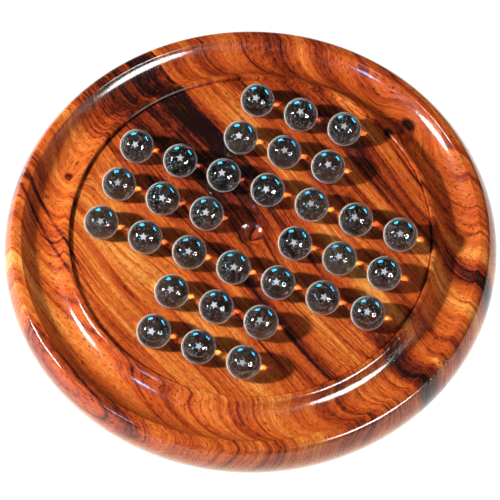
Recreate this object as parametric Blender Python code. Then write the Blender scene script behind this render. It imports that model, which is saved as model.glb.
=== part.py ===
"""Marble solitaire board: a turned hardwood disc with 33 conical hollows, a ring-shaped marble gallery,
a baize pad under it and 32 loose glass marbles. The centre hollow is empty, as at the start of a game.

Metres, +Z up, origin at the centre of the underside of the baize. The cross of hollows lies along X and Y.
Marbles are named marble_rROW_cCOLUMN: rows 1 to 7 from +Y to -Y, columns 1 to 7 from -X to +X.
"""

from math import ceil, cos, pi, radians, sin, tan

import bmesh
import bpy
from mathutils import Matrix

# Driving dimensions
HOLE_PITCH = 0.022
MARBLE_RADIUS = 0.008
FIELD_RADIUS = 0.0839
BAIZE_RADIUS = 0.100
BAIZE_THICKNESS = 0.001
BAIZE_GAP = 0.0003

# The turned section, from the edge of the field outwards
QUIRK_WIDTH = 0.0004  # a fine groove cut down at the edge of the field
QUIRK_DEPTH = 0.0008
STEP_WIDTH = 0.0006  # from the bottom of that groove up to the bead
STEP_HEIGHT = 0.0016
BEAD_FLAT_WIDTH = 0.0006
BEAD_ROUNDING = 0.0030
GALLERY_INNER_SLOPE = radians(60)
GALLERY_INNER_RADIUS = 0.0093
GALLERY_FLOOR_WIDTH = 0.0003
GALLERY_OUTER_RADIUS = 0.0124
GALLERY_OUTER_SLOPE = radians(54)
RIM_INNER_ROUNDING = 0.0012
RIM_FLAT_WIDTH = 0.0020
RIM_OUTER_ROUNDING = 0.0030
RIM_OUTER_SLOPE = radians(53)
SIDE_RADIUS = 0.0175
SIDE_LOWER_SLOPE = radians(130)
FOOT_ROUNDING = 0.0040

# Hollows, made with a pointed bit and eased at the mouth
HOLLOW_RADIUS = 0.0059
HOLLOW_SLOPE = radians(40)
HOLLOW_EASING_WIDTH = 0.0005
HOLLOW_EASING_SLOPE = radians(20)
CUTTER_RISE = 0.001
SEAT_GAP = 0.0003

# Facets
BOARD_SEGMENTS = 72
HOLLOW_SEGMENTS = 16
BAIZE_SEGMENTS = 48
MARBLE_SEGMENTS = 16
MARBLE_RINGS = 8
ARC_STEP = radians(16)
MERGE_DISTANCE = 1e-6
SMOOTH_UNDER = radians(40)

ROWS = 7
MIDDLE = ROWS // 2
ARM_HALF_WIDTH = 1  # each arm of the cross is three hollows wide


def clear_scene():
    for obj in list(bpy.data.objects):
        bpy.data.objects.remove(obj, do_unlink=True)


def material(name, colour, roughness, transmission=0.0, coat=0.0):
    made = bpy.data.materials.new(name)
    made.use_nodes = True
    shader = made.node_tree.nodes["Principled BSDF"]
    shader.inputs["Base Color"].default_value = (*colour, 1.0)
    shader.inputs["Roughness"].default_value = roughness
    shader.inputs["Metallic"].default_value = 0.0
    shader.inputs["Transmission Weight"].default_value = transmission
    shader.inputs["Coat Weight"].default_value = coat
    return made


def add_object(name, mesh, parent):
    obj = bpy.data.objects.new(name, mesh)
    bpy.context.scene.collection.objects.link(obj)
    obj.parent = parent
    return obj


class Outline:
    """A turned section drawn as a walk of straight runs and arcs, each starting where the last ended.

    A slope is how far the direction of travel points below straight outwards: 90 degrees runs straight
    down, and a negative slope climbs.
    """

    def __init__(self, radius, height):
        self.points = [(radius, height)]

    def run(self, outwards, upwards):
        radius, height = self.points[-1]
        self.points.append((radius + outwards, height + upwards))

    def arc(self, start_slope, end_slope, bend_radius):
        radius, height = self.points[-1]
        turn = end_slope - start_slope
        reach = bend_radius if turn > 0 else -bend_radius
        centre_radius = radius - reach * sin(start_slope)
        centre_height = height - reach * cos(start_slope)
        steps = max(2, ceil(abs(turn) / ARC_STEP))
        for step in range(1, steps + 1):
            slope = start_slope + turn * step / steps
            self.points.append((centre_radius + reach * sin(slope), centre_height + reach * cos(slope)))


def board_outline():
    """Radii and heights from the middle of the field to the middle of the underside, field at height 0."""
    outline = Outline(0.0, 0.0)
    outline.run(FIELD_RADIUS, 0.0)
    outline.run(QUIRK_WIDTH, -QUIRK_DEPTH)
    outline.run(STEP_WIDTH, QUIRK_DEPTH + STEP_HEIGHT)
    outline.run(BEAD_FLAT_WIDTH, 0.0)
    outline.arc(0.0, GALLERY_INNER_SLOPE, BEAD_ROUNDING)
    outline.arc(GALLERY_INNER_SLOPE, 0.0, GALLERY_INNER_RADIUS)
    outline.run(GALLERY_FLOOR_WIDTH, 0.0)
    outline.arc(0.0, -GALLERY_OUTER_SLOPE, GALLERY_OUTER_RADIUS)
    outline.arc(-GALLERY_OUTER_SLOPE, 0.0, RIM_INNER_ROUNDING)
    outline.run(RIM_FLAT_WIDTH, 0.0)
    outline.arc(0.0, RIM_OUTER_SLOPE, RIM_OUTER_ROUNDING)
    outline.arc(RIM_OUTER_SLOPE, pi / 2, SIDE_RADIUS)
    outline.arc(pi / 2, SIDE_LOWER_SLOPE, SIDE_RADIUS)
    outline.arc(SIDE_LOWER_SLOPE, pi, FOOT_ROUNDING)
    outline.run(-outline.points[-1][0], 0.0)
    return outline.points


def turned_mesh(name, points, segments):
    """Spins a section about the Z axis into a closed mesh."""
    bm = bmesh.new()
    verts = [bm.verts.new((radius, 0.0, height)) for radius, height in points]
    edges = [bm.edges.new(pair) for pair in zip(verts, verts[1:])]
    bmesh.ops.spin(
        bm,
        geom=verts + edges,
        cent=(0.0, 0.0, 0.0),
        axis=(0.0, 0.0, 1.0),
        angle=2 * pi,
        steps=segments,
        use_merge=True,
    )
    bmesh.ops.remove_doubles(bm, verts=bm.verts, dist=MERGE_DISTANCE)
    bmesh.ops.recalc_face_normals(bm, faces=bm.faces)
    mesh = bpy.data.meshes.new(name)
    bm.to_mesh(mesh)
    bm.free()
    mesh.shade_smooth()
    mesh.set_sharp_from_angle(angle=SMOOTH_UNDER)
    return mesh


def hollow_outline():
    """The cutter of one hollow: a cone, its eased mouth, and a lid clear above the field."""
    cone_rise = HOLLOW_RADIUS * tan(HOLLOW_SLOPE)
    easing_drop = HOLLOW_EASING_WIDTH * tan(HOLLOW_EASING_SLOPE)
    outline = Outline(0.0, -cone_rise - easing_drop)
    outline.run(HOLLOW_RADIUS, cone_rise)
    outline.run(HOLLOW_EASING_WIDTH, easing_drop)
    outline.run(CUTTER_RISE / tan(HOLLOW_EASING_SLOPE), CUTTER_RISE)
    outline.run(-outline.points[-1][0], 0.0)
    return outline.points


def hollow_places():
    """Row, column and centre of each hollow of the cross, both counted from 1."""
    for row in range(ROWS):
        for column in range(ROWS):
            if min(abs(row - MIDDLE), abs(column - MIDDLE)) <= ARM_HALF_WIDTH:
                centre = ((column - MIDDLE) * HOLE_PITCH, (MIDDLE - row) * HOLE_PITCH)
                yield row + 1, column + 1, centre


def is_centre(row, column):
    return row == column == MIDDLE + 1


def field_height(points):
    lowest = min(height for radius, height in points)
    return BAIZE_THICKNESS + BAIZE_GAP - lowest


def add_cutter(field, parent):
    """One hidden object that holds all 33 cutting cones."""
    cone = turned_mesh("hollow_cutter", hollow_outline(), HOLLOW_SEGMENTS)
    bm = bmesh.new()
    for _row, _column, (x, y) in hollow_places():
        first_new = len(bm.verts)
        bm.from_mesh(cone)
        bm.verts.ensure_lookup_table()
        bmesh.ops.translate(bm, verts=bm.verts[first_new:], vec=(x, y, field))
    bm.to_mesh(cone)
    bm.free()
    cutter = add_object("hollow_cutter", cone, parent)
    cutter.hide_render = True
    cutter.display_type = "WIRE"
    return cutter


def add_board(parent, wood):
    points = board_outline()
    field = field_height(points)
    mesh = turned_mesh("board", [(radius, height + field) for radius, height in points], BOARD_SEGMENTS)
    mesh.materials.append(wood)
    board = add_object("board", mesh, parent)
    hollows = board.modifiers.new("hollows", "BOOLEAN")
    hollows.operation = "DIFFERENCE"
    hollows.object = add_cutter(field, parent)
    return field


def add_baize(parent, cloth):
    mesh = bpy.data.meshes.new("baize_pad")
    bm = bmesh.new()
    bmesh.ops.create_cone(
        bm,
        cap_ends=True,
        segments=BAIZE_SEGMENTS,
        radius1=BAIZE_RADIUS,
        radius2=BAIZE_RADIUS,
        depth=BAIZE_THICKNESS,
        matrix=Matrix.Translation((0.0, 0.0, BAIZE_THICKNESS / 2)),
    )
    bm.to_mesh(mesh)
    bm.free()
    mesh.materials.append(cloth)
    add_object("baize_pad", mesh, parent)


def add_marbles(field, parent, glass):
    """A marble touches its cone on a ring, so its centre is one radius away square to the cone's wall."""
    mesh = bpy.data.meshes.new("marble")
    bm = bmesh.new()
    bmesh.ops.create_uvsphere(
        bm, u_segments=MARBLE_SEGMENTS, v_segments=MARBLE_RINGS, radius=MARBLE_RADIUS
    )
    bm.to_mesh(mesh)
    bm.free()
    mesh.shade_smooth()
    mesh.materials.append(glass)
    cone_tip = field + hollow_outline()[0][1]
    centre_height = cone_tip + (MARBLE_RADIUS + SEAT_GAP) / cos(HOLLOW_SLOPE)
    for row, column, (x, y) in hollow_places():
        if not is_centre(row, column):
            marble = add_object(f"marble_r{row}_c{column}", mesh, parent)
            marble.location = (x, y, centre_height)


def main():
    clear_scene()
    wood = material("turned_wood", (0.42, 0.13, 0.035), roughness=0.3, coat=0.8)
    cloth = material("baize", (0.02, 0.10, 0.05), roughness=0.95)
    glass = material("clear_glass", (0.92, 0.95, 0.96), roughness=0.02, transmission=1.0)
    root = add_object("solitaire_board", None, None)
    field = add_board(root, wood)
    add_baize(root, cloth)
    add_marbles(field, root, glass)


main()
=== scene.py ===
"""The looks of the marble solitaire board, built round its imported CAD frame. Metres, in the part's frame."""

import random
from math import ceil, cos, pi, radians, sin, tan

import bmesh
import bpy
from mathutils import Matrix, Vector


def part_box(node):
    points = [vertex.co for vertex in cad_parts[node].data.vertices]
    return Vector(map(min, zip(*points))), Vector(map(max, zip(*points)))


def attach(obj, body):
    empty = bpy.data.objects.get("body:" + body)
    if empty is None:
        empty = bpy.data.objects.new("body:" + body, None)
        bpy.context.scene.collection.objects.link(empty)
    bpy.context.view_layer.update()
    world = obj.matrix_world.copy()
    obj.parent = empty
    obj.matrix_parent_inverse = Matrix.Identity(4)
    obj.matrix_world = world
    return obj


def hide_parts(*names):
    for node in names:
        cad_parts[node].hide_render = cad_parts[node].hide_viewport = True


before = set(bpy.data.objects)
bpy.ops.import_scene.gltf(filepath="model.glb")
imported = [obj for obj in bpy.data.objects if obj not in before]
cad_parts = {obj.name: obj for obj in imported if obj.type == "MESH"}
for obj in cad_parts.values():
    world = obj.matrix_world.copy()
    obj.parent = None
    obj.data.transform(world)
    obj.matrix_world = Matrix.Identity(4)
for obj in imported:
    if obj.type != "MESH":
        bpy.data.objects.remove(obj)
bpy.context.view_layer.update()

# Places read from the frame
BOARD_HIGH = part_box("board")[1]
BAIZE_LOW, BAIZE_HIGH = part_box("baize_pad")

# The turned section, as in the CAD model
FIELD_RADIUS = 0.0839
QUIRK_WIDTH = 0.0004
QUIRK_DEPTH = 0.0008
STEP_WIDTH = 0.0006
STEP_HEIGHT = 0.0016
BEAD_FLAT_WIDTH = 0.0006
BEAD_ROUNDING = 0.0030
GALLERY_INNER_SLOPE = radians(60)
GALLERY_INNER_RADIUS = 0.0093
GALLERY_FLOOR_WIDTH = 0.0003
GALLERY_OUTER_RADIUS = 0.0124
GALLERY_OUTER_SLOPE = radians(54)
RIM_INNER_ROUNDING = 0.0012
RIM_FLAT_WIDTH = 0.0020
RIM_OUTER_ROUNDING = 0.0030
RIM_OUTER_SLOPE = radians(53)
SIDE_RADIUS = 0.0175
SIDE_LOWER_SLOPE = radians(130)
FOOT_ROUNDING = 0.0040
FIELD = BOARD_HIGH.z - STEP_HEIGHT

HOLE_PITCH = 0.022
MARBLE_RADIUS = 0.008
HOLLOW_RADIUS = 0.0059
HOLLOW_SLOPE = radians(40)
HOLLOW_EASING_WIDTH = 0.0005
HOLLOW_EASING_SLOPE = radians(20)
CUTTER_RISE = 0.001  # how far the cutter of the hollows stands clear above the field
ROWS = 7
MIDDLE = ROWS // 2
ARM_HALF_WIDTH = 1  # each arm of the cross is three hollows wide

# Finish of the meshes
BOARD_SEGMENTS = 288
BAIZE_SEGMENTS = BOARD_SEGMENTS // 2
HOLLOW_SEGMENTS = 48
ARC_STEP = radians(5)
MERGE_DISTANCE = 1e-6
BOARD_SMOOTH_UNDER = radians(15)
BAIZE_SMOOTH_UNDER = radians(35)
STAR_SMOOTH_UNDER = radians(40)

# The camera, in the direction that the photograph was taken from
CAMERA_AZIMUTH = radians(20.9)
CAMERA_ELEVATION = radians(61.5)
CAMERA_ROLL = radians(0.2)
CAMERA_DISTANCE = 1.5
CAMERA_AIM_RIGHT = -0.0003
CAMERA_AIM_NEAR = 0.0083
LENS_MM = 232.3
SENSOR_MM = 36.0


def turned_to_camera(azimuth):
    """An azimuth counted from the camera's right as one in the part's frame."""
    return azimuth + CAMERA_AZIMUTH


def direction(azimuth, elevation):
    flat = cos(elevation)
    return Vector((flat * cos(azimuth), flat * sin(azimuth), sin(elevation)))


def link(obj):
    bpy.context.scene.collection.objects.link(obj)
    return obj


def smooth(mesh, angle):
    mesh.shade_smooth()
    mesh.set_sharp_from_angle(angle=angle)


# ---------------------------------------------------------------- nodes


class Nodes:
    """A thin wrapper that adds shader nodes and joins them up."""

    def __init__(self, name):
        self.material = bpy.data.materials.new(name)
        self.material.use_nodes = True
        self.tree = self.material.node_tree
        self.tree.nodes.clear()

    def add(self, kind, inputs=None, **settings):
        made = self.tree.nodes.new(kind)
        for key, value in settings.items():
            setattr(made, key, value)
        for key, value in (inputs or {}).items():
            self.feed(made.inputs[key], value)
        return made

    def feed(self, socket, value):
        if isinstance(value, bpy.types.NodeSocket):
            self.tree.links.new(value, socket)
        else:
            socket.default_value = value

    def math(self, operation, *values):
        made = self.tree.nodes.new("ShaderNodeMath")
        made.operation = operation
        for socket, value in zip(made.inputs, values):
            self.feed(socket, value)
        return made.outputs[0]

    def total(self, *values):
        result = values[0]
        for value in values[1:]:
            result = self.math("ADD", result, value)
        return result

    def times(self, first, second):
        return self.math("MULTIPLY", first, second)

    def highest(self, first, second):
        return self.math("MAXIMUM", first, second)

    def vector(self, x, y, z):
        return self.add("ShaderNodeCombineXYZ", {"X": x, "Y": y, "Z": z}).outputs[0]

    def ramp(self, value, low, high, out_low=0.0, out_high=1.0):
        """A smooth step of value between low and high."""
        made = self.add("ShaderNodeMapRange", interpolation_type="SMOOTHSTEP")
        for name, number in (
            ("Value", value),
            ("From Min", low),
            ("From Max", high),
            ("To Min", out_low),
            ("To Max", out_high),
        ):
            self.feed(made.inputs[name], number)
        return made.outputs[0]

    def band(self, value, low, low_soft, high, high_soft):
        """1 between low and high, falling to 0 over the soft widths outside them."""
        rise = self.ramp(value, low - low_soft, low)
        fall = self.ramp(value, high, high + high_soft, 1.0, 0.0)
        return self.times(rise, fall)

    def noise(self, vector, scale=1.0, detail=2.0, roughness=0.5):
        made = self.add(
            "ShaderNodeTexNoise",
            {"Vector": vector, "Scale": scale, "Detail": detail, "Roughness": roughness},
        )
        return made.outputs[0]

    def mix(self, factor, first, second):
        made = self.add("ShaderNodeMix", data_type="RGBA")
        for index, value in ((0, factor), (6, first), (7, second)):
            self.feed(made.inputs[index], value)
        return made.outputs[2]

    def mix_shaders(self, factor, first, second):
        return self.add("ShaderNodeMixShader", {0: factor, 1: first.outputs[0], 2: second.outputs[0]})

    def bump(self, height, strength, distance):
        made = self.add("ShaderNodeBump", {"Strength": strength, "Distance": distance, "Height": height})
        return made.outputs[0]

    def colours(self, value, stops):
        made = self.add("ShaderNodeValToRGB", {"Fac": value})
        elements = made.color_ramp.elements
        while len(elements) < len(stops):
            elements.new(1.0)
        for element, (place, colour) in zip(elements, stops):
            element.position = place
            element.color = (*colour, 1.0)
        return made.outputs[0]

    def finish(self, shader):
        output = self.add("ShaderNodeOutputMaterial")
        self.tree.links.new(shader.outputs[0], output.inputs["Surface"])
        return self.material


# ---------------------------------------------------------------- materials

MM = 1000.0

# The figure of the wood, in mm across and along the grain from the middle of the board
GRAIN_AZIMUTH = turned_to_camera(radians(38))  # straight across the grain
KNOTS = (  # across, along, size, and how far the growth rings give way
    (97.6, 3.0, 16.0, -9.0),
    (-47.6, 78.5, 11.0, 6.0),
)
KNOT_EYES = (  # across, along, size
    (97.6, 3.0, 4.5),
    (-47.6, 78.5, 3.0),
    (85.0, 3.0, 3.2),
)
KNOT_STRETCH = 1.5  # how much longer than wide a knot is
VEINS_ACROSS = (-86.0, -80.5)
VEIN_WIDTH = 0.3
WOOD_COLOURS = (  # tone, colour
    (0.0, (0.010, 0.0020, 0.0014)),
    (0.18, (0.060, 0.0080, 0.0032)),
    (0.36, (0.25, 0.028, 0.0052)),
    (0.56, (0.48, 0.078, 0.0110)),
    (0.76, (0.62, 0.148, 0.021)),
    (1.0, (0.80, 0.32, 0.066)),
)
# Painted reflection in part: the pale colour low on the side, for paler wood there and for the white floor's
# reflection on it
PALE_SIDE_AND_REFLECTION_COLOUR = (0.88, 0.46, 0.13, 1.0)
PORE_COLOUR = (0.012, 0.0025, 0.0015, 1.0)

BAIZE_DARK = (0.004, 0.030, 0.012, 1.0)
BAIZE_LIGHT = (0.020, 0.095, 0.045, 1.0)

GLASS_IOR = 1.5
GLASS_TINT = (0.40, 0.47, 0.48, 1.0)
WHITE = (1.0, 1.0, 1.0, 1.0)
# The colour of the dust on the glass, and of the painted rim reflection
DUST_AND_SHEEN_COLOUR = (0.80, 0.80, 0.78, 1.0)
ETCH_DARK = (0.20, 0.19, 0.20, 1.0)
ETCH_LIGHT = (0.66, 0.64, 0.68, 1.0)


def wood_material(name):
    """Figured hardwood under a clear glossy lacquer."""
    n = Nodes(name)
    place = n.add("ShaderNodeTexCoord").outputs["Object"]
    turned = n.add(
        "ShaderNodeMapping",
        {"Vector": place, "Rotation": (0.0, 0.0, -GRAIN_AZIMUTH), "Scale": (MM, MM, MM)},
    )
    split = n.add("ShaderNodeSeparateXYZ", {"Vector": turned.outputs[0]})
    across, along, height = split.outputs
    depth = n.math("SUBTRACT", height, FIELD * MM)  # 0 at the field, negative below it

    def grain(sideways, width, length, thickness, detail=2.0, roughness=0.5, shift=0.0):
        """A noise from -0.5 to 0.5, stretched to the given sizes in mm."""
        stretched = n.vector(
            n.math("ADD", n.math("DIVIDE", sideways, width), shift),
            n.math("DIVIDE", along, length),
            n.math("DIVIDE", depth, thickness),
        )
        return n.math("SUBTRACT", n.noise(stretched, detail=detail, roughness=roughness), 0.5)

    # The growth rings: how far across the grain a point lies, bent by the tree's own waviness
    slow = grain(across, 55.0, 120.0, 30.0, detail=1.0)
    quick = grain(across, 24.0, 80.0, 30.0, detail=1.0)
    ring = n.total(across, n.times(slow, 20.0), n.times(quick, 4.0), n.times(depth, -0.6))

    def knot(middle_across, middle_along, size):
        """How near a point is to a knot: 1 at its middle, 0 from its size outwards."""
        sideways = n.math("DIVIDE", n.math("SUBTRACT", across, middle_across), size)
        endways = n.math("DIVIDE", n.math("SUBTRACT", along, middle_along), size * KNOT_STRETCH)
        squares = n.total(n.math("POWER", sideways, 2.0), n.math("POWER", endways, 2.0))
        away = n.total(n.math("SQRT", squares), n.times(quick, 0.8))
        return n.ramp(away, 0.0, 1.0, 1.0, 0.0)

    for middle_across, middle_along, size, bend in KNOTS:
        ring = n.total(ring, n.times(knot(middle_across, middle_along, size), bend))

    # How light the wood is: bands of several widths, small mottling and dark lines between the rings
    broad = grain(ring, 20.0, 160.0, 90.0, detail=1.0)
    middling = grain(ring, 7.0, 120.0, 60.0, shift=7.0)
    fine = grain(ring, 1.0, 40.0, 20.0, roughness=0.6, shift=13.0)
    fine_share = n.ramp(depth, -2.0, -0.5, 0.5, 0.8)
    mottle = grain(ring, 1.2, 3.5, 2.0, detail=3.0, roughness=0.7, shift=23.0)
    contour = n.math("ABSOLUTE", grain(ring, 9.0, 240.0, 240.0, detail=1.0, shift=41.0))
    growth_line = n.ramp(contour, 0.0, 0.035, 1.0, 0.0)
    tone = n.total(
        0.63,
        n.times(broad, 1.2),
        n.times(middling, 0.95),
        n.times(fine, fine_share),
        n.times(mottle, 0.55),
        n.times(growth_line, -0.24),
    )

    # The dark heartwood: a band with one sharp edge, its end nearest the camera, and a streak along the rings
    edge = n.total(across, n.times(quick, 3.0))
    blotch = grain(across, 5.0, 14.0, 9.0, detail=4.0, roughness=0.7)
    wide_band = n.times(n.band(edge, -15.0, 16.0, 22.8, 0.7), 0.78)
    edge_band = n.times(n.band(edge, 14.0, 10.0, 22.8, 0.7), 0.25)
    heart = n.total(wide_band, edge_band)
    heart = n.times(heart, n.ramp(along, -20.0, 55.0, 0.3, 1.0))
    heart = n.times(heart, n.ramp(blotch, -0.2, 0.15, 0.5, 1.0))
    near_heart = n.times(n.band(edge, 12.0, 8.0, 24.0, 3.0), n.ramp(along, -92.0, -50.0, 0.75, 0.0))
    streak = n.times(n.band(ring, 67.0, 8.0, 74.0, 6.0), n.ramp(broad, -0.3, 0.1, 0.5, 1.0))
    dark = n.highest(n.highest(heart, near_heart), n.times(streak, 0.62))

    # The eyes of the knots, and two dark veins that cross the grain at a slant
    for eye in KNOT_EYES:
        dark = n.highest(dark, n.ramp(knot(*eye), 0.05, 0.8, 0.0, 0.85))
    slant = n.total(across, n.times(along, -0.19), n.times(quick, 5.0))
    for vein in VEINS_ACROSS:
        line = n.times(n.band(slant, vein, 0.9, vein + VEIN_WIDTH, 0.9), n.ramp(along, 10.0, 40.0))
        dark = n.highest(dark, n.times(line, 0.5))
    pale = n.times(n.band(across, -95.0, 12.0, -45.0, 30.0), n.band(along, -45.0, 40.0, 45.0, 40.0))
    tone = n.highest(n.total(tone, n.times(dark, -0.58), n.times(pale, 0.05)), 0.0)
    wood = n.colours(tone, WOOD_COLOURS)

    # Low on the side the colour is painted paler: partly paler wood, partly a painted reflection of the white
    # floor seen at a grazing angle; dark wood keeps most of its colour
    pale_side_and_reflection = n.times(n.ramp(depth, -17.0, -4.8, 0.62, 0.0), n.ramp(dark, 0.0, 0.7, 1.0, 0.1))
    wood = n.mix(pale_side_and_reflection, wood, PALE_SIDE_AND_REFLECTION_COLOUR)

    # Pores: short dark dashes along the grain, more of them in the dark wood
    pore_field = grain(ring, 0.36, 3.0, 0.9, detail=1.0, shift=31.0)
    pores = n.times(n.ramp(n.total(pore_field, n.times(dark, 0.05)), 0.10, 0.17), 0.8)
    wood = n.mix(pores, wood, PORE_COLOUR)

    shader = n.add(
        "ShaderNodeBsdfPrincipled",
        {
            "Base Color": wood,
            "Roughness": 0.5,
            "Specular IOR Level": 0.05,
            "Coat Weight": 1.0,
            "Coat Roughness": 0.08,
            "Coat IOR": 1.5,
            "Normal": n.bump(n.times(pores, -1.0), strength=0.25, distance=0.00005),
            "Coat Normal": n.bump(n.total(mottle, n.times(pores, -0.6)), strength=0.5, distance=0.00008),
        },
    )
    return n.finish(shader)


def baize_material(name):
    n = Nodes(name)
    place = n.add("ShaderNodeTexCoord").outputs["Object"]
    fluff = n.noise(place, scale=900.0, detail=3.0, roughness=0.7)
    patch = n.noise(place, scale=60.0)
    shade = n.total(n.times(fluff, 0.6), n.times(patch, 0.4))
    shader = n.add(
        "ShaderNodeBsdfPrincipled",
        {
            "Base Color": n.mix(shade, BAIZE_DARK, BAIZE_LIGHT),
            "Roughness": 0.95,
            "Sheen Weight": 0.4,
            "Sheen Roughness": 0.5,
            "Normal": n.bump(fluff, strength=0.6, distance=0.0002),
        },
    )
    return n.finish(shader)


def glass_material(name):
    """Glass with a little dust, specks and fine scratches on it, and a pale rim of painted reflection round
    its edge.

    Light that goes on to the board passes untinted and past the dust and the painted rim, so that it gathers
    to a bright spot.
    """
    n = Nodes(name)
    place = n.add("ShaderNodeTexCoord").outputs["Object"]
    chance = n.add("ShaderNodeObjectInfo").outputs["Random"]
    moved = n.add("ShaderNodeVectorMath", {0: place, 1: n.vector(chance, chance, chance)}, operation="ADD")
    shifted = moved.outputs[0]
    bounced = n.math("MINIMUM", n.add("ShaderNodeLightPath").outputs["Diffuse Depth"], 1.0)
    tinted, clear = (
        n.add(
            "ShaderNodeBsdfPrincipled",
            {"Base Color": colour, "Roughness": 0.0, "IOR": GLASS_IOR, "Transmission Weight": 1.0},
        )
        for colour in (GLASS_TINT, WHITE)
    )
    glass = n.mix_shaders(bounced, tinted, clear)
    smear = n.ramp(n.noise(shifted, scale=420.0, detail=4.0, roughness=0.75), 0.44, 0.80, 0.0, 0.08)
    speck_field = n.add("ShaderNodeTexVoronoi", {"Vector": shifted, "Scale": 900.0}).outputs["Distance"]
    specks = n.ramp(speck_field, 0.10, 0.22, 0.60, 0.0)
    # Painted reflection: the rim of each marble is painted pale, more so the more edge-on the glass is seen,
    # in place of reflected light
    facing = n.add("ShaderNodeLayerWeight", {"Blend": 0.5}).outputs["Facing"]
    rim = n.ramp(facing, 0.40, 1.0, 0.0, 0.60)
    # The dust layer also carries the painted rim reflection
    dust_and_rim_sheen = n.times(n.total(smear, specks, rim), n.math("SUBTRACT", 1.0, bounced))
    dust_and_sheen_layer = n.add("ShaderNodeBsdfDiffuse", {"Color": DUST_AND_SHEEN_COLOUR})
    return n.finish(n.mix_shaders(dust_and_rim_sheen, glass, dust_and_sheen_layer))


def etch_material(name):
    """Ground glass, of a slightly different grey on each marble."""
    n = Nodes(name)
    place = n.add("ShaderNodeTexCoord").outputs["Object"]
    chance = n.add("ShaderNodeObjectInfo").outputs["Random"]
    grit = n.noise(place, scale=4000.0)
    shade = n.total(n.times(grit, 0.5), n.times(chance, 0.5))
    grey = n.mix(shade, ETCH_DARK, ETCH_LIGHT)
    return n.finish(n.add("ShaderNodeBsdfPrincipled", {"Base Color": grey, "Roughness": 0.7}))


# ---------------------------------------------------------------- turned pieces


class Outline:
    """A turned section drawn as a walk of straight runs and arcs, each starting where the last ended.

    A slope is how far the direction of travel points below straight outwards: 90 degrees runs straight
    down, and a negative slope climbs.
    """

    def __init__(self, radius, height):
        self.points = [(radius, height)]

    def run(self, outwards, upwards):
        radius, height = self.points[-1]
        self.points.append((radius + outwards, height + upwards))

    def arc(self, start_slope, end_slope, bend_radius):
        radius, height = self.points[-1]
        turn = end_slope - start_slope
        reach = bend_radius if turn > 0 else -bend_radius
        centre_radius = radius - reach * sin(start_slope)
        centre_height = height - reach * cos(start_slope)
        steps = max(2, ceil(abs(turn) / ARC_STEP))
        for step in range(1, steps + 1):
            slope = start_slope + turn * step / steps
            self.points.append((centre_radius + reach * sin(slope), centre_height + reach * cos(slope)))


def board_outline():
    """Radii and heights from the middle of the field to the middle of the underside."""
    outline = Outline(0.0, FIELD)
    outline.run(FIELD_RADIUS, 0.0)
    outline.run(QUIRK_WIDTH, -QUIRK_DEPTH)
    outline.run(STEP_WIDTH, QUIRK_DEPTH + STEP_HEIGHT)
    outline.run(BEAD_FLAT_WIDTH, 0.0)
    outline.arc(0.0, GALLERY_INNER_SLOPE, BEAD_ROUNDING)
    outline.arc(GALLERY_INNER_SLOPE, 0.0, GALLERY_INNER_RADIUS)
    outline.run(GALLERY_FLOOR_WIDTH, 0.0)
    outline.arc(0.0, -GALLERY_OUTER_SLOPE, GALLERY_OUTER_RADIUS)
    outline.arc(-GALLERY_OUTER_SLOPE, 0.0, RIM_INNER_ROUNDING)
    outline.run(RIM_FLAT_WIDTH, 0.0)
    outline.arc(0.0, RIM_OUTER_SLOPE, RIM_OUTER_ROUNDING)
    outline.arc(RIM_OUTER_SLOPE, pi / 2, SIDE_RADIUS)
    outline.arc(pi / 2, SIDE_LOWER_SLOPE, SIDE_RADIUS)
    outline.arc(SIDE_LOWER_SLOPE, pi, FOOT_ROUNDING)
    outline.run(-outline.points[-1][0], 0.0)
    return outline.points


def hollow_outline():
    """The cutter of one hollow: a cone, its eased mouth, and a lid clear above the field."""
    cone_rise = HOLLOW_RADIUS * tan(HOLLOW_SLOPE)
    easing_drop = HOLLOW_EASING_WIDTH * tan(HOLLOW_EASING_SLOPE)
    outline = Outline(0.0, -cone_rise - easing_drop)
    outline.run(HOLLOW_RADIUS, cone_rise)
    outline.run(HOLLOW_EASING_WIDTH, easing_drop)
    outline.run(CUTTER_RISE / tan(HOLLOW_EASING_SLOPE), CUTTER_RISE)
    outline.run(-outline.points[-1][0], 0.0)
    return outline.points


def turned_mesh(name, points, segments):
    """Spins a section about the Z axis into a closed mesh."""
    bm = bmesh.new()
    verts = [bm.verts.new((radius, 0.0, height)) for radius, height in points]
    edges = [bm.edges.new(pair) for pair in zip(verts, verts[1:])]
    bmesh.ops.spin(
        bm,
        geom=verts + edges,
        cent=(0.0, 0.0, 0.0),
        axis=(0.0, 0.0, 1.0),
        angle=2 * pi,
        steps=segments,
        use_merge=True,
    )
    bmesh.ops.remove_doubles(bm, verts=bm.verts, dist=MERGE_DISTANCE)
    bmesh.ops.recalc_face_normals(bm, faces=bm.faces)
    mesh = bpy.data.meshes.new(name)
    bm.to_mesh(mesh)
    bm.free()
    return mesh


def hollow_places():
    """Row, column and centre of each hollow of the cross, both counted from 1."""
    for row in range(ROWS):
        for column in range(ROWS):
            if min(abs(row - MIDDLE), abs(column - MIDDLE)) <= ARM_HALF_WIDTH:
                centre = ((column - MIDDLE) * HOLE_PITCH, (MIDDLE - row) * HOLE_PITCH)
                yield row + 1, column + 1, centre


def cutter_mesh():
    """All 33 cutting cones in one mesh."""
    cone = turned_mesh("hollow_cutter", hollow_outline(), HOLLOW_SEGMENTS)
    bm = bmesh.new()
    for _row, _column, (x, y) in hollow_places():
        first_new = len(bm.verts)
        bm.from_mesh(cone)
        bm.verts.ensure_lookup_table()
        bmesh.ops.translate(bm, verts=bm.verts[first_new:], vec=(x, y, FIELD))
    bm.to_mesh(cone)
    bm.free()
    return cone


def apply_modifiers(obj):
    graph = bpy.context.evaluated_depsgraph_get()
    mesh = bpy.data.meshes.new_from_object(obj.evaluated_get(graph))
    obj.modifiers.clear()
    obj.data = mesh


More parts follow.
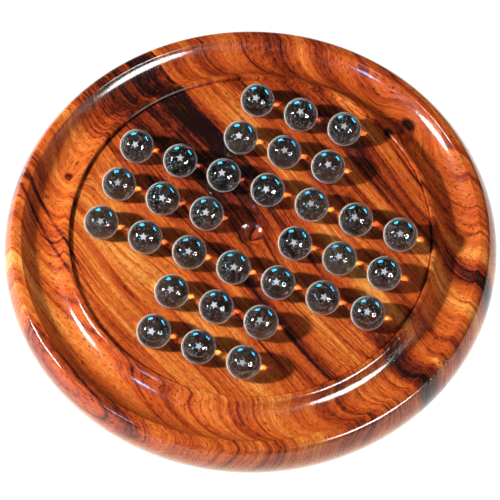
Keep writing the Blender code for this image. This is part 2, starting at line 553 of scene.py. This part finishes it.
def make_board(wood, collection):
    mesh = turned_mesh("turned_board", board_outline(), BOARD_SEGMENTS)
    board = link(bpy.data.objects.new("turned_board", mesh))
    cutter = link(bpy.data.objects.new("hollow_cutter", cutter_mesh()))
    cut = board.modifiers.new("hollows", "BOOLEAN")
    cut.operation = "DIFFERENCE"
    cut.object = cutter
    apply_modifiers(board)
    bpy.data.objects.remove(cutter, do_unlink=True)
    smooth(board.data, BOARD_SMOOTH_UNDER)
    weigh = board.modifiers.new("flat_faces", "WEIGHTED_NORMAL")
    weigh.keep_sharp = True
    apply_modifiers(board)
    board.data.materials.clear()
    board.data.materials.append(wood)
    collection.objects.link(board)
    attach(board, "board")
    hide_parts("board")


def make_baize(cloth):
    """A thin round pad whose two edges are cut off by a third of its thickness."""
    thickness = BAIZE_HIGH.z - BAIZE_LOW.z
    radius = BAIZE_HIGH.x
    edge = thickness / 3
    outline = Outline(0.0, BAIZE_HIGH.z)
    outline.run(radius - edge, 0.0)
    outline.run(edge, -edge)
    outline.run(0.0, 2 * edge - thickness)
    outline.run(-edge, -edge)
    outline.run(edge - radius, 0.0)
    pad = link(bpy.data.objects.new("baize", turned_mesh("baize", outline.points, BAIZE_SEGMENTS)))
    smooth(pad.data, BAIZE_SMOOTH_UNDER)
    pad.data.materials.append(cloth)
    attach(pad, "board")
    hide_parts("baize_pad")


# ---------------------------------------------------------------- marbles

SPHERE_SEGMENTS = 64
SPHERE_RINGS = 32
STAR_POINTS = 5
STAR_RADIUS = 0.0020
STAR_WAIST = 0.45
STAR_PROUD = 0.00003
STAR_DEPTH = 0.00008
STAR_CUTS = 3
STAR_PITCH = (-0.14, 0.0)  # how far a star may lean, in radians
STAR_ROLL = (-0.12, 0.04)
STAR_SEED = 7


def sphere_mesh(glass):
    mesh = bpy.data.meshes.new("marble_glass")
    bm = bmesh.new()
    bmesh.ops.create_uvsphere(
        bm, u_segments=SPHERE_SEGMENTS, v_segments=SPHERE_RINGS, radius=MARBLE_RADIUS
    )
    bm.to_mesh(mesh)
    bm.free()
    mesh.shade_smooth()
    mesh.materials.append(glass)
    return mesh


def star_mesh(etch):
    """A small five-pointed star on the top of a marble, following its curve, with a little depth."""
    mesh = bpy.data.meshes.new("etched_star")
    bm = bmesh.new()
    rim = []
    for corner in range(2 * STAR_POINTS):
        reach = STAR_RADIUS * (1.0 if corner % 2 == 0 else STAR_WAIST)
        angle = pi * corner / STAR_POINTS
        rim.append(bm.verts.new((reach * sin(angle), reach * cos(angle), 0.0)))
    centre = bm.verts.new((0.0, 0.0, 0.0))
    faces = [bm.faces.new((a, centre, b)) for a, b in zip(rim, rim[1:] + rim[:1])]
    bmesh.ops.recalc_face_normals(bm, faces=faces)
    bmesh.ops.subdivide_edges(bm, edges=bm.edges, cuts=STAR_CUTS, use_grid_fill=True)
    if bm.faces[:][0].normal.z < 0:
        bmesh.ops.reverse_faces(bm, faces=bm.faces)
    extruded = bmesh.ops.extrude_face_region(bm, geom=bm.faces[:])["geom"]
    upper = {part for part in extruded if isinstance(part, bmesh.types.BMVert)}
    for vert in bm.verts:
        shell = MARBLE_RADIUS + STAR_PROUD - (0.0 if vert in upper else STAR_DEPTH)
        flat = Vector((vert.co.x, vert.co.y, 0.0))
        angle = flat.length / MARBLE_RADIUS
        side = flat.normalized() * sin(angle) if flat.length > 0 else Vector()
        vert.co = (side + Vector((0.0, 0.0, cos(angle)))) * shell
    bmesh.ops.recalc_face_normals(bm, faces=bm.faces)
    bm.to_mesh(mesh)
    bm.free()
    smooth(mesh, STAR_SMOOTH_UNDER)
    mesh.materials.append(etch)
    return mesh


def star_turn(chance):
    """Faces the camera, give or take a small lean, and points any way round."""
    turn = Matrix.Rotation(CAMERA_AZIMUTH, 4, "Z")
    tilt = Matrix.Rotation(pi / 2 - CAMERA_ELEVATION, 4, "X")
    pitch = Matrix.Rotation(chance.uniform(*STAR_PITCH), 4, "X")
    roll = Matrix.Rotation(chance.uniform(*STAR_ROLL), 4, "Y")
    spin = Matrix.Rotation(chance.uniform(-pi, pi), 4, "Z")
    return (turn @ tilt) @ (pitch @ roll) @ spin


def make_marbles(glass, etch, collection):
    sphere = sphere_mesh(glass)
    star = star_mesh(etch)
    chance = random.Random(STAR_SEED)
    for row, column, _centre in hollow_places():
        if row == column == MIDDLE + 1:
            continue
        body = f"marble_r{row}_c{column}"
        low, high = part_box(body)
        centre = (low + high) / 2
        ball = link(bpy.data.objects.new(f"glass_r{row}_c{column}", sphere))
        ball.location = centre
        collection.objects.link(ball)
        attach(ball, body)
        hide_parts(body)
        turned_star = star.copy()
        turned_star.transform(star_turn(chance))
        mark = link(bpy.data.objects.new(f"star_r{row}_c{column}", turned_star))
        mark.location = centre
        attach(mark, body)


# ---------------------------------------------------------------- studio

LAMP_WHITE = (1.0, 0.98, 0.95)
WINDOW_BLUE = (0.03, 0.48, 0.95)
LAMP_DISTANCE = 1.5

# Where the light comes from: degrees round from the camera's right, and degrees up
KEY = (184, 33)
FILL = (321, 34)
FILL_STRIP = (317, 35)
FAR_WINDOW = (107.5, 21)
RIGHT_WINDOW = (41, 14)
NEAR_WINDOW = (219, 38)

FLOOR_HALF_WIDTH = 3.0
FLOOR_GAP = 0.0003
FLOOR_SHIFT = 1.0  # keeps the diagonal of its square away from the board
FLOOR_BRIGHTNESS = 0.15
FLOOR_EXTRA = {"Is Camera Ray": 0.9, "Is Diffuse Ray": 1.1, "Is Glossy Ray": 1.3}
ROOM_COLOUR = (0.045, 0.042, 0.040, 1.0)
GLASS_BLUR = 0.01  # low, so that the marbles gather the light to small spots


def make_camera():
    data = bpy.data.cameras.new("camera")
    data.lens = LENS_MM
    data.sensor_width = SENSOR_MM
    data.clip_end = 20.0
    camera = link(bpy.data.objects.new("camera", data))
    turn = Matrix.Rotation(CAMERA_AZIMUTH, 4, "Z")
    tilt = Matrix.Rotation(pi / 2 - CAMERA_ELEVATION, 4, "X")
    roll = Matrix.Rotation(CAMERA_ROLL, 4, "Z")
    aim = turn @ Vector((CAMERA_AIM_RIGHT, -CAMERA_AIM_NEAR, FIELD))
    back = turn @ Vector((0.0, -cos(CAMERA_ELEVATION), sin(CAMERA_ELEVATION)))
    camera.matrix_world = Matrix.Translation(aim + back * CAMERA_DISTANCE) @ turn @ tilt @ roll
    bpy.context.scene.camera = camera


def make_lamp(name, place, width, height, watts, colour=LAMP_WHITE):
    """An oval lamp that faces the middle of the board."""
    data = bpy.data.lights.new(name, "AREA")
    data.shape = "ELLIPSE"
    data.size = width
    data.size_y = height
    data.energy = watts
    data.color = colour
    lamp = link(bpy.data.objects.new(name, data))
    azimuth, elevation = place
    towards = direction(turned_to_camera(radians(azimuth)), radians(elevation))
    lamp.location = Vector((0.0, 0.0, FIELD)) + towards * LAMP_DISTANCE
    lamp.rotation_euler = towards.to_track_quat("Z", "Y").to_euler()
    return lamp


def make_glow(name, place, size, watts):
    """The light that a lamp throws, without its mirror image."""
    make_lamp(name, place, size, size, watts).visible_glossy = False


def make_focus(name, place, size, watts):
    """The light of a lamp that only reaches the board through the glass, where the marbles gather it."""
    lamp = make_lamp(name, place, size, size, watts)
    lamp.visible_diffuse = False
    lamp.visible_glossy = False


def make_shine(name, place, width, height, watts, colour=LAMP_WHITE, seen_in=None):
    """The mirror image of a lamp or a window, in everything or only in some of the objects."""
    lamp = make_lamp(name, place, width, height, watts, colour)
    lamp.visible_diffuse = False
    lamp.visible_transmission = False
    lamp.light_linking.receiver_collection = seen_in


def make_floor():
    """A white floor that shows only from above, so that the underside can be looked at."""
    n = Nodes("white_floor")
    ray = n.add("ShaderNodeLightPath").outputs
    strength = FLOOR_BRIGHTNESS
    for kind, extra in FLOOR_EXTRA.items():
        strength = n.total(strength, n.times(ray[kind], extra))
    glow = n.add("ShaderNodeEmission", {"Color": WHITE, "Strength": strength})
    clear = n.add("ShaderNodeBsdfTransparent")
    behind = n.add("ShaderNodeNewGeometry").outputs["Backfacing"]
    white = n.finish(n.mix_shaders(behind, glow, clear))
    mesh = bpy.data.meshes.new("floor")
    bm = bmesh.new()
    bmesh.ops.create_grid(bm, x_segments=1, y_segments=1, size=FLOOR_HALF_WIDTH)
    bm.to_mesh(mesh)
    bm.free()
    mesh.materials.append(white)
    floor = link(bpy.data.objects.new("floor", mesh))
    floor.location = (FLOOR_SHIFT, 0.0, -FLOOR_GAP)


def make_world():
    """White where the camera sees it, and a dim room for everything else."""
    world = bpy.data.worlds.new("studio")
    bpy.context.scene.world = world
    world.use_nodes = True
    tree = world.node_tree
    background = tree.nodes["Background"]
    background.inputs["Strength"].default_value = 1.0
    ray = tree.nodes.new("ShaderNodeLightPath")
    mix = tree.nodes.new("ShaderNodeMix")
    mix.data_type = "RGBA"
    mix.inputs[6].default_value = ROOM_COLOUR
    mix.inputs[7].default_value = WHITE
    tree.links.new(ray.outputs["Is Camera Ray"], mix.inputs[0])
    tree.links.new(mix.outputs[2], background.inputs["Color"])


def main():
    bpy.context.scene.view_settings.view_transform = "Standard"
    bpy.context.scene.cycles.blur_glossy = GLASS_BLUR
    make_camera()
    boards = bpy.data.collections.new("boards")
    make_board(wood_material("figured_lacquered_wood"), boards)
    make_baize(baize_material("green_baize"))
    marbles = bpy.data.collections.new("marbles")
    make_marbles(glass_material("clear_glass"), etch_material("etched_white"), marbles)
    make_floor()
    make_world()
    make_glow("key_glow", KEY, 0.14, watts=41)
    make_glow("fill_glow", FILL, 0.50, watts=7)
    make_focus("key_focus", KEY, 0.28, watts=28)
    make_shine("key_shine", KEY, 0.34, 0.34, watts=60)
    make_shine("fill_shine", FILL, 0.58, 0.58, watts=220, seen_in=marbles)
    make_shine("fill_strip", FILL_STRIP, 0.84, 0.60, watts=42, seen_in=boards)
    make_shine("far_window", FAR_WINDOW, 0.60, 0.66, watts=30, colour=WINDOW_BLUE, seen_in=marbles)
    make_shine("right_window", RIGHT_WINDOW, 0.72, 0.34, watts=24, colour=WINDOW_BLUE, seen_in=marbles)
    make_shine("near_window", NEAR_WINDOW, 0.24, 0.24, watts=5, colour=WINDOW_BLUE)


main()
